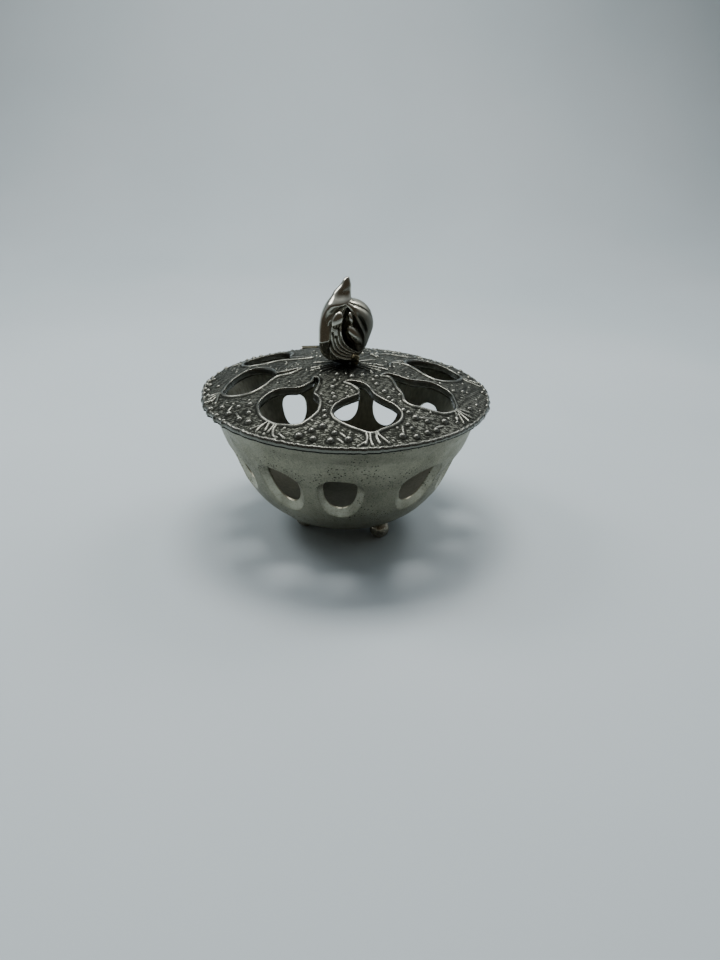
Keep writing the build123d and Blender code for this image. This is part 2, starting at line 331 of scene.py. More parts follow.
# the flat that is scooped from the stalk's front: height of its middle, half its height, depth
# as a share of the stalk's width, and how far round to the right it faces
SCOOP = (41.0, 2.6, 0.34, 14)
# lumps in and beside the hollow: centre, half-sizes, tilt in degrees (top to the right)
LUMPS = [
    ((3.1, -5.3, 25.5), (2.5, 2.7, 4.9), -40.0),
    ((-4.2, -6.4, 31.3), (2.3, 1.9, 3.9), 17.0),
    ((1.1, -5.6, 32.2), (1.0, 1.7, 2.7), -12.0),
]

# ---------------------------------------------------------------- curves and meshes


def smooth(points, step, closed=False):
    """Points about a step apart on a smooth curve through the given ones."""
    given = np.array(points, float)
    if closed:
        ring = np.vstack([given[-1:], given, given[:2]])
    else:
        ring = np.vstack([2 * given[:1] - given[1:2], given, 2 * given[-1:] - given[-2:-1]])
    t = np.linspace(0, 1, 12, endpoint=False)[:, None]
    parts = []
    for a, b, c, d in zip(ring[:-3], ring[1:-2], ring[2:-1], ring[3:]):
        line = 2 * b + (c - a) * t
        line = line + (2 * a - 5 * b + 4 * c - d) * t**2 + (3 * b - a - 3 * c + d) * t**3
        parts.append(line / 2)
    dense = np.vstack(parts + [given[:1] if closed else given[-1:]])
    lengths = np.r_[0, np.cumsum(np.linalg.norm(np.diff(dense, axis=0), axis=1))]
    count = max(4, round(lengths[-1] / step))
    at = np.linspace(0, lengths[-1], count + 1)
    even = np.stack([np.interp(at, lengths, axis) for axis in dense.T], 1)
    return even[:-1] if closed else even


def inward(loop, distance):
    """A closed curve moved towards its own inside, without the loops this makes in tight corners."""
    along = np.roll(loop, -1, 0) - np.roll(loop, 1, 0)
    along /= np.linalg.norm(along, axis=1)[:, None]
    normal = np.stack([-along[:, 1], along[:, 0]], 1)
    x, y = loop.T
    area = np.sum(x * np.roll(y, -1) - y * np.roll(x, -1))
    moved = loop + normal * distance * np.sign(area)
    return moved[distance_to(moved, loop, True) > 0.97 * distance]


def inside(points, loop):
    """Which points are inside a closed curve."""
    x, y = points.T
    result = np.zeros(len(points), bool)
    for (x0, y0), (x1, y1) in zip(loop, np.roll(loop, -1, 0)):
        if y0 != y1:
            between = (y0 > y) != (y1 > y)
            result ^= between & (x < (x1 - x0) * (y - y0) / (y1 - y0) + x0)
    return result


def distance_to(points, line, closed=False):
    """How far each point is from a line of points."""
    ends = np.roll(line, -1, 0) if closed else line[1:]
    best = np.full(len(points), 1e9)
    for a, b in zip(line, ends):
        along = b - a
        share = np.clip((points - a) @ along / max(along @ along, 1e-12), 0, 1)
        best = np.minimum(best, ((points - a - share[:, None] * along) ** 2).sum(1))
    return np.sqrt(best)


def grid_points(low, high, step):
    """A jittered triangular grid over a rectangle."""
    rows = []
    height = step * 0.866
    for i, y in enumerate(np.arange(low[1], high[1], height)):
        x = np.arange(low[0] + step * 0.5 * (i % 2), high[0], step)
        rows.append(np.stack([x, np.full(len(x), y)], 1))
    points = np.vstack(rows)
    return points + RNG.uniform(-0.12, 0.12, points.shape) * step


def triangulate(outer, holes, creases, fill, gap):
    """Triangles that fill a flat region. The first vertices are those of outer, then of each hole."""
    loops = [outer, *holes, *creases]
    for loop in loops:
        near = (fill > loop.min(0) - gap).all(1) & (fill < loop.max(0) + gap).all(1)
        close = np.zeros(len(fill), bool)
        close[near] = distance_to(fill[near], loop, True) < gap
        fill = fill[~close]
    fill = fill[inside(fill, outer)]
    for hole in holes:
        fill = fill[~inside(fill, hole)]
    points = np.vstack([*loops, fill])
    edges = []
    start = 0
    for loop in loops:
        count = len(loop)
        edges += [(start + i, start + (i + 1) % count) for i in range(count)]
        start += count
    made, _, faces, origin, _, _ = delaunay_2d_cdt([Vector(p) for p in points], edges, [], 0, 1e-7)
    if len(made) != len(points):
        raise RuntimeError("two outlines cross")
    order = np.empty(len(points), int)
    for new, old in enumerate(origin):
        order[new] = old[0]
    faces = order[np.array(faces)]
    centres = points[faces].mean(1)
    kept = inside(centres, outer)
    for hole in holes:
        kept &= ~inside(centres, hole)
    return points, faces[kept]


def rings_of(index, loops):
    """The vertices of each loop, in a mesh whose first vertices are those of the loops."""
    ends = np.cumsum([0] + [len(loop) for loop in loops])
    return [index[a:b] for a, b in zip(ends[:-1], ends[1:])]


class MeshParts:
    """Vertices and faces that are collected into one mesh."""

    def __init__(self):
        self.points = []
        self.faces = []
        self.slots = []
        self.count = 0

    def add_points(self, points):
        first = self.count
        self.points.append(np.asarray(points, float))
        self.count += len(points)
        return np.arange(first, self.count)

    def add_faces(self, faces, flip=False, slot=0):
        faces = np.asarray(faces)
        if flip:
            faces = faces[:, ::-1]
        self.faces += faces.tolist()
        self.slots += [slot] * len(faces)

    def sew(self, one, other, closed=True, flip=False, slot=0):
        """Quads between two rings of the same length."""
        last = len(one) if closed else len(one) - 1
        quads = []
        for i in range(last):
            j = (i + 1) % len(one)
            quads.append((one[i], one[j], other[j], other[i]))
        self.add_faces(quads, flip, slot)

    def fan(self, ring, centre, flip=False, slot=0):
        """Triangles from a closed ring to a new point."""
        tip = self.add_points([centre])[0]
        last = len(ring)
        self.add_faces([(ring[i], ring[(i + 1) % last], tip) for i in range(last)], flip, slot)

    def chain(self, rings, closed=True, flip=False):
        """Quads from each ring to the next."""
        for one, other in zip(rings[:-1], rings[1:]):
            self.sew(one, other, closed, flip)

    def stack(self, rings, flip=False):
        """A closed skin through a stack of rings, with a fan over each end."""
        self.chain(rings, flip=flip)
        for ring, turned in ((rings[0], not flip), (rings[-1], flip)):
            self.fan(ring, np.vstack(self.points)[ring].mean(0), turned)

    def build(self, name, *materials):
        """The mesh as an object, smooth shaded and scaled to metres."""
        points = np.vstack(self.points) * MM
        mesh = bpy.data.meshes.new(name)
        mesh.from_pydata(points.tolist(), [], self.faces)
        for material in materials:
            mesh.materials.append(material)
        mesh.polygons.foreach_set("material_index", self.slots)
        piece = bpy.data.objects.new(name, mesh)
        bpy.context.scene.collection.objects.link(piece)
        mesh.polygons.foreach_set("use_smooth", [True] * len(mesh.polygons))
        return piece


def merge_near(mesh, distance):
    """Joins vertices that nearly touch, and turns all faces outwards."""
    work = bmesh.new()
    work.from_mesh(mesh)
    bmesh.ops.remove_doubles(work, verts=work.verts, dist=distance)
    bmesh.ops.recalc_face_normals(work, faces=work.faces)
    work.to_mesh(mesh)
    work.free()


def store_values(mesh, name, values):
    """Stores a number for each vertex, which the materials can read."""
    attribute = mesh.attributes.new(name, "FLOAT", "POINT")
    attribute.data.foreach_set("value", values.astype(np.float32))


def full_turn(count):
    """Evenly spaced angles round a full turn."""
    return np.linspace(0, 2 * pi, count, endpoint=False)


def place(azimuth, uv):
    """Points given along and across an azimuth, as X and Y."""
    a = radians(azimuth)
    u, v = np.array(uv, float).T
    return np.stack([u * sin(a) + v * cos(a), -u * cos(a) + v * sin(a)], 1)


def spoke(azimuth, distance):
    """The point at a distance from the axis towards an azimuth, as X and Y."""
    return place(azimuth, [(distance, 0)])[0]


def power_of(values, power):
    """A power that keeps the sign."""
    return np.sign(values) * np.abs(values) ** power


def wobble(points, wavelength, seed):
    """Smooth noise from about -1 to 1 in two or three dimensions, as a sum of plane waves."""
    random = np.random.default_rng(seed)
    waves = 7
    usual_peak = 3.2
    total = np.zeros(len(points))
    for _ in range(waves):
        way = random.normal(size=points.shape[1])
        way /= np.linalg.norm(way)
        rate = 2 * pi / wavelength * random.uniform(0.7, 1.4)
        total += np.sin(points @ way * rate + random.uniform(0, 2 * pi))
    return total / usual_peak


# ---------------------------------------------------------------- materials


class Nodes:
    """Short names for building a material's nodes."""

    def __init__(self, name):
        self.material = bpy.data.materials.new(name)
        self.material.use_nodes = True
        self.tree = self.material.node_tree
        self.shader = self.tree.nodes["Principled BSDF"]
        self.where = self.node("ShaderNodeTexCoord").outputs["Object"]

    def node(self, kind, **settings):
        made = self.tree.nodes.new(kind)
        for key, value in settings.items():
            setattr(made, key, value)
        return made

    def link(self, output, socket):
        self.tree.links.new(output, socket)

    def attribute(self, name):
        """A value that was stored for each vertex."""
        return self.node("ShaderNodeAttribute", attribute_name=name).outputs["Fac"]

    def along(self, axis):
        """Each point's X, Y or Z in metres."""
        axes = self.node("ShaderNodeSeparateXYZ")
        self.link(self.where, axes.inputs[0])
        return axes.outputs[axis]

    def noise(self, scale, detail=3.0, rough=0.55, stretch=(1, 1, 1)):
        """Noise whose scale is in features per millimetre, stretched along the axes."""
        mapping = self.node("ShaderNodeMapping")
        mapping.inputs["Scale"].default_value = stretch
        self.link(self.where, mapping.inputs["Vector"])
        noise = self.node("ShaderNodeTexNoise")
        noise.inputs["Scale"].default_value = scale / MM
        noise.inputs["Detail"].default_value = detail
        noise.inputs["Roughness"].default_value = rough
        self.link(mapping.outputs["Vector"], noise.inputs["Vector"])
        return noise.outputs["Fac"]

    def spots(self, scale):
        """Distance to scattered points, for pits and grains."""
        cells = self.node("ShaderNodeTexVoronoi")
        cells.inputs["Scale"].default_value = scale / MM
        self.link(self.where, cells.inputs["Vector"])
        return cells.outputs["Distance"]

    def ramp(self, value, *stops):
        """Colours or greys at places from 0 to 1."""
        ramp = self.node("ShaderNodeValToRGB")
        elements = ramp.color_ramp.elements
        while len(elements) < len(stops):
            elements.new(0.5)
        for element, (place_at, colour) in zip(elements, stops):
            element.position = place_at
            if isinstance(colour, (int, float)):
                colour = (colour, colour, colour)
            element.color = (*colour, 1)
        self.link(value, ramp.inputs["Fac"])
        return ramp.outputs["Color"]

    def mix(self, share, a, b):
        """Colour a with a share of colour b."""
        mix = self.node("ShaderNodeMix", data_type="RGBA", blend_type="MIX")
        for socket, value in ((0, share), (6, a), (7, b)):
            if hasattr(value, "is_output"):
                self.link(value, mix.inputs[socket])
            elif socket == 0:
                mix.inputs[0].default_value = value
            else:
                mix.inputs[socket].default_value = (*value, 1)
        return mix.outputs[2]

    def math(self, operation, a, b):
        made = self.node("ShaderNodeMath", operation=operation)
        for socket, value in zip(made.inputs, (a, b)):
            if hasattr(value, "is_output"):
                self.link(value, socket)
            else:
                socket.default_value = value
        return made.outputs[0]

    def swing(self, value, size):
        """A value from 0 to 1 as one that swings by half the size either side of zero."""
        return self.math("MULTIPLY", self.math("SUBTRACT", value, 0.5), size)

    def bump(self, height, strength, distance, after=None):
        bump = self.node("ShaderNodeBump")
        bump.inputs["Strength"].default_value = strength
        bump.inputs["Distance"].default_value = distance * MM
        self.link(height, bump.inputs["Height"])
        if after:
            self.link(after, bump.inputs["Normal"])
        return bump.outputs["Normal"]

    def finish(self, colour, rough, normal=None, metallic=1.0):
        self.link(colour, self.shader.inputs["Base Color"])
        self.link(rough, self.shader.inputs["Roughness"])
        self.shader.inputs["Metallic"].default_value = metallic
        if normal:
            self.link(normal, self.shader.inputs["Normal"])
        return self.material


def satin_pewter(name, worn, tone):
    """Satin cast pewter, a little warm, clouded, with clusters of small dark pits, and brighter
    where the attribute called polish is set."""
    n = Nodes(name)
    uneven = n.ramp(n.noise(0.11, 3, 0.6), (0.36, 0.12), (0.64, 0.5))
    polish = n.math("MULTIPLY", n.attribute("polish"), uneven)
    oxide = (0.08, 0.08, 0.06)
    pit_black = (0.025, 0.025, 0.018)
    dark, light, bright, rubbed = (
        tuple(tone * channel for channel in colour)
        for colour in (
            (0.165, 0.162, 0.117),
            (0.29, 0.285, 0.215),
            (0.4, 0.39, 0.303),
            (0.56, 0.545, 0.44),
        )
    )
    cloud = n.noise(0.06, 4, 0.65)
    grain = n.noise(1.6, 3, 0.65)
    metal = n.ramp(cloud, (0.32, dark), (0.68, light))
    metal = n.mix(n.ramp(grain, (0.38, 0.0), (0.7, worn)), metal, bright)
    metal = n.mix(polish, metal, rubbed)
    metal = n.mix(n.ramp(grain, (0.25, 0.5), (0.45, 0.0)), metal, oxide)
    patch = n.ramp(n.noise(0.075, 2, 0.5), (0.5, 0.0), (0.6, 1.0))
    pit = n.math("MULTIPLY", n.ramp(n.spots(0.85), (0.16, 1.0), (0.3, 0.0)), patch)
    tiny = n.ramp(n.spots(1.5), (0.12, 0.6), (0.24, 0.0))
    pit = n.math("MAXIMUM", pit, n.math("MULTIPLY", tiny, n.ramp(cloud, (0.4, 1.0), (0.55, 0.0))))
    colour = n.mix(pit, metal, pit_black)
    rough = n.ramp(n.noise(0.3, 4, 0.6), (0.3, 0.4), (0.7, 0.56))
    rough = n.mix(polish, rough, (0.34, 0.34, 0.34))
    rough = n.mix(pit, rough, (0.8, 0.8, 0.8))
    normal = n.bump(grain, 0.35, 0.14)
    normal = n.bump(n.ramp(pit, (0.0, 1.0), (1.0, 0.0)), 0.7, 0.25, normal)
    return n.finish(colour, rough, normal)


def inner_pewter():
    """The bowl's inside: dull, with upright brush marks, and painted shade that darkens it towards
    the bottom.
    """
    n = Nodes("inner_pewter")
    streak = n.noise(0.9, 3, 0.6, (1, 1, 0.08))
    cloud = n.noise(0.08, 3, 0.6)
    dull, light = (0.21, 0.212, 0.168), (0.42, 0.422, 0.35)
    # stain is a clouded stain; the second colour is painted shade, laid on towards the bottom
    stain, lower_painted_shade = (0.17, 0.17, 0.132), (0.07, 0.073, 0.055)
    metal = n.ramp(streak, (0.3, dull), (0.75, light))
    colour = n.mix(n.ramp(cloud, (0.4, 0.0), (0.75, 0.5)), metal, stain)
    # painted shade: the lower part of the inside is darkened by height, standing in for the shade
    # inside the bowl
    height = n.math("MULTIPLY", n.along("Z"), 1 / (RIM_Z * MM))
    colour = n.mix(n.ramp(height, (0.2, 0.56), (0.75, 0.0)), colour, lower_painted_shade)
    rough = n.ramp(streak, (0.3, 0.42), (0.8, 0.58))
    return n.finish(colour, rough, n.bump(streak, 0.35, 0.12), metallic=0.6)


def antiqued_pewter():
    """The lid: worn tops over a dark oxidised, finely grained ground."""
    n = Nodes("antiqued_pewter")
    grain = n.noise(1.7, 3, 0.65)
    cloud = n.noise(0.12, 3, 0.6)
    height = n.math("MULTIPLY", n.attribute("relief"), 0.5)
    height = n.math("ADD", height, n.swing(grain, 0.5))
    height = n.math("SUBTRACT", height, n.math("MULTIPLY", n.attribute("hollow"), 2.4))
    height = n.math("ADD", height, n.swing(cloud, 0.5))
    colour = n.ramp(
        height,
        (0.0, (0.014, 0.015, 0.012)),
        (0.12, (0.064, 0.067, 0.056)),
        (0.3, (0.102, 0.106, 0.09)),
        (0.7, (0.17, 0.172, 0.148)),
    )
    rough = n.ramp(height, (0.1, 0.6), (0.35, 0.42), (0.7, 0.27))
    return n.finish(colour, rough, n.bump(grain, 0.3, 0.16))


def polished_pewter():
    """The finial: bright cast pewter with dark oxide in its recesses."""
    n = Nodes("polished_pewter")
    depth = n.math("ADD", n.attribute("hollow"), n.swing(n.noise(0.25, 3, 0.6), 0.12))
    depth = n.math("ADD", depth, 0.25)
    colour = n.ramp(
        depth,
        (0.15, (0.52, 0.505, 0.43)),
        (0.27, (0.38, 0.365, 0.3)),
        (0.36, (0.19, 0.18, 0.14)),
        (0.5, (0.05, 0.047, 0.036)),
    )
    rough = n.ramp(depth, (0.2, 0.16), (0.45, 0.5))
    # the right side is rougher and its colour darker, by a ramp across X
    across = n.math("ADD", n.math("MULTIPLY", n.along("X"), 0.06 / MM), 0.5)
    dull = n.ramp(across, (0.56, 0.0), (0.76, 1.0))
    darker_right = (0.115, 0.12, 0.1)
    rough = n.mix(dull, rough, (0.5, 0.5, 0.5))
    colour = n.mix(n.math("MULTIPLY", dull, 0.78), colour, darker_right)
    return n.finish(colour, rough, n.bump(n.noise(1.2, 2, 0.5), 0.12, 0.1))


def foot_pewter():
    """The feet: brownish, handled pewter."""
    n = Nodes("foot_pewter")
    cloud = n.noise(0.35, 4, 0.6)
    brown, grey, rubbed = (0.17, 0.145, 0.1), (0.36, 0.33, 0.26), (0.5, 0.48, 0.4)
    colour = n.ramp(cloud, (0.3, brown), (0.55, grey), (0.8, rubbed))
    rough = n.ramp(n.noise(0.8, 3, 0.6), (0.3, 0.22), (0.7, 0.4))
    return n.finish(colour, rough, n.bump(cloud, 0.3, 0.2))


def brass():
    """The finial's stud and nut: brass dulled brown, brighter where it is rubbed."""
    n = Nodes("brass")
    cloud = n.noise(0.7, 4, 0.6)
    brown, dull, bright = (0.2, 0.16, 0.09), (0.42, 0.36, 0.22), (0.62, 0.54, 0.36)
    colour = n.ramp(cloud, (0.3, brown), (0.5, dull), (0.7, bright))
    rough = n.ramp(cloud, (0.3, 0.55), (0.7, 0.32))
    return n.finish(colour, rough, n.bump(n.noise(1.6, 3, 0.6), 0.4, 0.2))


def steel():
    """The hinge pin: drawn steel with lengthwise marks."""
    n = Nodes("steel")
    marks = n.noise(1.5, 3, 0.6, (0.06, 1, 1))
    colour = n.ramp(marks, (0.3, (0.24, 0.24, 0.23)), (0.7, (0.5, 0.5, 0.49)))
    rough = n.ramp(marks, (0.3, 0.24), (0.7, 0.4))
    return n.finish(colour, rough, n.bump(marks, 0.2, 0.06))


def table_paint():
    """The floor and backdrop: plain pale card."""
    n = Nodes("table_paint")
    cloud = n.noise(0.004, 3, 0.5)
    colour = n.ramp(cloud, (0.3, (0.47, 0.54, 0.565)), (0.7, (0.52, 0.585, 0.61)))
    rough = n.ramp(cloud, (0.3, 0.55), (0.7, 0.65))
    return n.finish(colour, rough, metallic=0.0)


# ---------------------------------------------------------------- bowl

# the outer profile as points, and for each its length up the profile (S) and the way it runs
PROFILE = smooth(BOWL_PROFILE, 0.5)
PROFILE_S = np.r_[0, np.cumsum(np.linalg.norm(np.diff(PROFILE, axis=0), axis=1))]
PROFILE_WAY = np.gradient(PROFILE, PROFILE_S, axis=0)
RIM_S = PROFILE_S[-1]
CAP_S = float(np.interp(CAP_R, PROFILE[:, 0], PROFILE_S))
HOLE_S = float(np.interp(HOLE_Z, PROFILE[:, 1], PROFILE_S))
HOLE_R = float(np.interp(HOLE_S, PROFILE_S, PROFILE[:, 0]))


def on_bowl(flat, depth):
    """Points of the wall from (arc at the holes' radius, length up the profile) and a depth."""
    a = flat[:, 0] / HOLE_R
    s = flat[:, 1]
    r, z, dr, dz = (np.interp(s, PROFILE_S, column) for column in (*PROFILE.T, *PROFILE_WAY.T))
    size = np.hypot(dr, dz)
    r = r - depth * dz / size
    z = z + depth * dr / size
    return np.stack([r * np.sin(a), -r * np.cos(a), z], 1)


def hole_outline(hole, grow):
    """A D-shaped hole, flatter at its top, as (across, up) from its centre. grow is 0 for the hole
    and 1 for its bevel's mouth."""
    _, half, above, below, left, right, lean, slant = hole
    count = 64
    points = []
    for i in range(count):
        t = 2 * pi * i / count
        x, y = cos(t), sin(t)
        power = HOLE_TOP_POWER if y > 0 else HOLE_LOW_POWER
        side = half + grow * (right if x > 0 else left)
        up = above + grow * BEVEL_ABOVE if y > 0 else below + grow * BEVEL_BELOW
        high = up * power_of(y, power)
        wide = side * power_of(x, power)
        points.append((wide + lean * high, high + slant * wide * max(0, y)))
    return smooth(points, 0.55, closed=True)


def wrapped(azimuth):
    """An azimuth as a place on the unrolled wall."""
    return radians((azimuth - SEAM) % 360 + SEAM) * HOLE_R


def set_out(hole, grow):
    """A hole's outline in its place on the unrolled wall."""
    return hole_outline(hole, grow) + (wrapped(hole[0]), HOLE_S)


def radius_towards(outline, angles):
    """How far a star-shaped outline is from its centre, towards each angle."""
    around = np.arctan2(outline[:, 1], outline[:, 0])
    order = np.argsort(around)
    return np.interp(
        angles, around[order], np.linalg.norm(outline, axis=1)[order], period=2 * pi
    )


def bevel_depth(flat):
    """How far the bevels lower the outer surface."""
    depth = np.zeros(len(flat))
    for hole in HOLES:
        offset = flat - (wrapped(hole[0]), HOLE_S)
        away = np.linalg.norm(offset, axis=1)
        near = away < BEVEL_REACH
        angles = np.arctan2(offset[near, 1], offset[near, 0])
        inner = radius_towards(hole_outline(hole, 0), angles)
        outer = radius_towards(hole_outline(hole, 1), angles)
        share = np.clip((outer - away[near]) / (outer - inner), 0, 1)
        depth[near] = np.maximum(depth[near], BEVEL_DEPTH * share**BEVEL_POWER)
    return depth


def wall_border(left, right):
    """The unrolled wall's border, anticlockwise from its lower left corner."""
    up = np.linspace(CAP_S, RIM_S, WALL_UP + 1)
    across = np.linspace(left, right, WALL_AROUND + 1)
    return np.vstack(
        [
            np.stack([across[:-1], np.full(WALL_AROUND, CAP_S)], 1),
            np.stack([np.full(WALL_UP, right), up[:-1]], 1),
            np.stack([across[:0:-1], np.full(WALL_AROUND, RIM_S)], 1),
            np.stack([np.full(WALL_UP, left), up[:0:-1]], 1),
        ]
    )


def make_bowl(outside, lining):
    """The pierced bowl: an outer and an inner skin, each triangulated flat and then rolled up, and
    joined round the rim and through every hole."""
    holes = [set_out(hole, 0) for hole in HOLES]
    mouths = [set_out(hole, 1) for hole in HOLES]
    left = radians(SEAM) * HOLE_R
    right = left + 2 * pi * HOLE_R
    border = wall_border(left, right)
    parts = MeshParts()
    polish = []
    skins = []
    for within, step in ((False, OUTER_STEP), (True, INNER_STEP)):
        fill = grid_points((left, CAP_S), (right, RIM_S), step)
        flat, faces = triangulate(border, holes, [] if within else mouths, fill, step * 0.5)
        base = on_bowl(flat, 0)
        if within:
            depth = np.full(len(flat), WALL) + 0.1 * wobble(base, 9, 5)
            polish.append(np.zeros(len(flat)))
        else:
            uneven = 0.12 * wobble(base, 17, 3) + 0.05 * wobble(base, 5, 4)
            keep_seam = np.clip(np.minimum(flat[:, 0] - left, right - flat[:, 0]) / 4, 0, 1)
            bevel = bevel_depth(flat)
            depth = bevel + uneven * keep_seam
            polish.append(np.clip(bevel / 0.2, 0, 1))
        index = parts.add_points(on_bowl(flat, depth))
        parts.add_faces(index[faces], flip=within, slot=int(within))
        first_top = WALL_AROUND + WALL_UP
        rim = index[first_top : first_top + WALL_AROUND]
        skins.append([*rings_of(index, [border, *holes])[1:], rim])
        cap_centre = (0, 0, parts.points[-1][0, 2])
        parts.fan(index[:WALL_AROUND], cap_centre, flip=not within, slot=int(within))
        polish.append(np.zeros(1))
    for outer_ring, inner_ring in zip(*skins):
        parts.sew(outer_ring, inner_ring)
    piece = parts.build("bowl_pierced", outside, lining)
    store_values(piece.data, "polish", np.concatenate(polish))
    merge_near(piece.data, 0.002 * MM)
    piece.data.set_sharp_from_angle(angle=radians(27))
    return piece


# ---------------------------------------------------------------- lid


def lid_top(r):
    """Height of the plain dome at a distance from the axis."""
    return LID_EDGE_Z + LID_RISE * (1 - (r / LID_R) ** LID_POWER)


def edge_beads():
    """Beads that stand over the lid's edge, unevenly spaced and sized, as x, y and radius."""
    beads = []
    for first, last, radius in EDGE_BEADS:
        count = round(abs(last - first) / EDGE_BEAD_SPACING)
        for i in range(count):
            azimuth = first + (last - first) * i / count + 1.6 * sin(7 * i)
            beads.append((*spoke(azimuth, LID_R - 0.7), radius * (1 + 0.25 * sin(5 * i))))
    return beads


def lid_edge():
    """The lid's outline seen from above: an uneven circle with a notch for the hinge."""
    r = LID_R - 0.3
    start = np.arcsin(NOTCH_HALF / r)
    angles = np.linspace(pi + start, 3 * pi - start, 900)
    arc = np.stack([r * np.sin(angles), -r * np.cos(angles)], 1)
    wave = 0.14 * wobble(arc, 5, 21) + 0.1 * wobble(arc, 2.2, 22)
    for x, y, radius in edge_beads():
        wave += radius * 0.75 * np.exp(-((np.hypot(*(arc - (x, y)).T) / radius) ** 2))
    wave[:3] = 0
    wave[-3:] = 0
    arc *= 1 + (wave / r)[:, None]
    (left, top_y), (right, _) = arc[0], arc[-1]
    down = np.linspace(0, 1, 5)[1:]
    notch = [(right, top_y + (NOTCH_Y - top_y) * t) for t in down]
    notch += [(x, NOTCH_Y) for x in np.linspace(right, left, 60)[1:]]
    notch += [(left, NOTCH_Y + (top_y - NOTCH_Y) * t) for t in down[:-1]]
    return np.vstack([arc, notch])


def raise_lines(height, points, lines, radius, rise, closed=False):
    """Raises a round-backed wire along each line."""
    for line in lines:
        near = ((points > line.min(0) - 2) & (points < line.max(0) + 2)).all(1)
        away = distance_to(points[near], line, closed)
        width = radius * (1 + 0.14 * wobble(points[near], 4.5, 31))
        wire = rise * np.sqrt(np.clip(1 - (away / width) ** 2, 0, 1))
        height[near] = np.maximum(height[near], wire)


def raise_beads(height, points, beads):
    """Raises a nearly half-round bead at each place."""
    for x, y, radius in beads:
        away = np.hypot(points[:, 0] - x, points[:, 1] - y)
        near = away < radius
        dome = np.sqrt(radius**2 - away[near] ** 2) * 0.95
        height[near] = np.maximum(height[near], dome + 0.05)


def all_beads(lines, holes):
    """The large beads, and small ones scattered over the ground clear of them and of the wires."""
    chosen = [(*spoke(azimuth, r), radius) for azimuth, r, radius in BEADS]
    chosen += edge_beads()
    tries = RNG.uniform(-LID_R, LID_R, (BEAD_TRIES, 2))
    sizes = RNG.uniform(*SMALL_BEADS, len(tries))
    r = np.hypot(*tries.T)
    good = (r < LID_R - 1.8) & (r > 12)
    good &= ~((np.abs(tries[:, 0]) < NOTCH_HALF) & (tries[:, 1] > LEAF_Y))
    for hole in holes:
        good &= ~inside(tries, hole)
    for line in lines:
        good &= distance_to(tries, line) > sizes + 0.5
    # the back right, where there are no openings, is crowded with larger beads
    crowded = (tries[:, 1] > BACK_Y) & (tries[:, 0] > -5)
    sizes = np.where(crowded, sizes * 1.5, sizes)
    for (x, y), size in zip(tries[good], sizes[good]):
        room = min(np.hypot(x - bx, y - by) - br for bx, by, br in chosen)
        spread = 0.3 if y > BACK_Y else 2.4
        if room > size + 0.4 + spread * RNG.random():
            chosen.append((x, y, size))
    return chosen


def lid_relief(points, wires, roots, holes):
    """Height of the cast relief above the dome."""
    r = np.hypot(*points.T)
    height = 0.12 + 0.07 * wobble(points, 3.0, 41) + 0.06 * wobble(points, 1.3, 42)
    height += RNG.uniform(-0.06, 0.06, len(points))
    raise_beads(height, points, all_beads(wires + roots, holes))
    for straight, radius in ((RODS, ROD_R), (STRANDS, STRAND_R)):
        lines = [np.stack([spoke(*ends[:2]), spoke(*ends[2:])]) for ends in straight]
        raise_lines(height, points, lines, radius, ROD_RISE)
    raise_lines(height, points, roots, ROOT_R, ROOT_RISE)
    raise_lines(height, points, wires, WIRE_R, WIRE_RISE, closed=True)
    edge = np.clip((r - (LID_R - 1.15 + 0.3 * wobble(points, 4, 43))) / 0.3, 0, 1)
    lip = 0.3 + 0.12 * wobble(points, 2.4, 44)
    height = np.maximum(height * (1 - edge) + lip * edge, height * (height > 0.5))
    leaf = (np.abs(points[:, 0]) < LEAF_HALF) & (points[:, 1] > LEAF_Y)
    return np.where(leaf, 0.0, height)


def edge_rows(loop, under_z):
    """Rows of points down the lid's rounded outer edge, which is straight in the notch."""
    notch = (loop[:, 1] > NOTCH_Y - 0.1) & (np.abs(loop[:, 0]) < NOTCH_HALF + 0.4)
    rows = []
    for out, drop in ((0.35, 0.45), (0.3, 1.2), (-0.3, 2.0)):
        grown = loop * (1 + np.where(notch, 0, out) / np.hypot(*loop.T))[:, None]
        z = LID_EDGE_Z + drop / LID_BAND * (under_z - LID_EDGE_Z)
        rows.append(np.column_stack([grown, z]))
    return rows


def opening_rows(loop, top_z, under_z):
    """Rows of points down the wall of an opening."""
    return [np.column_stack([loop, top_z + (under_z - top_z) * share]) for share in (0.3, 0.7)]


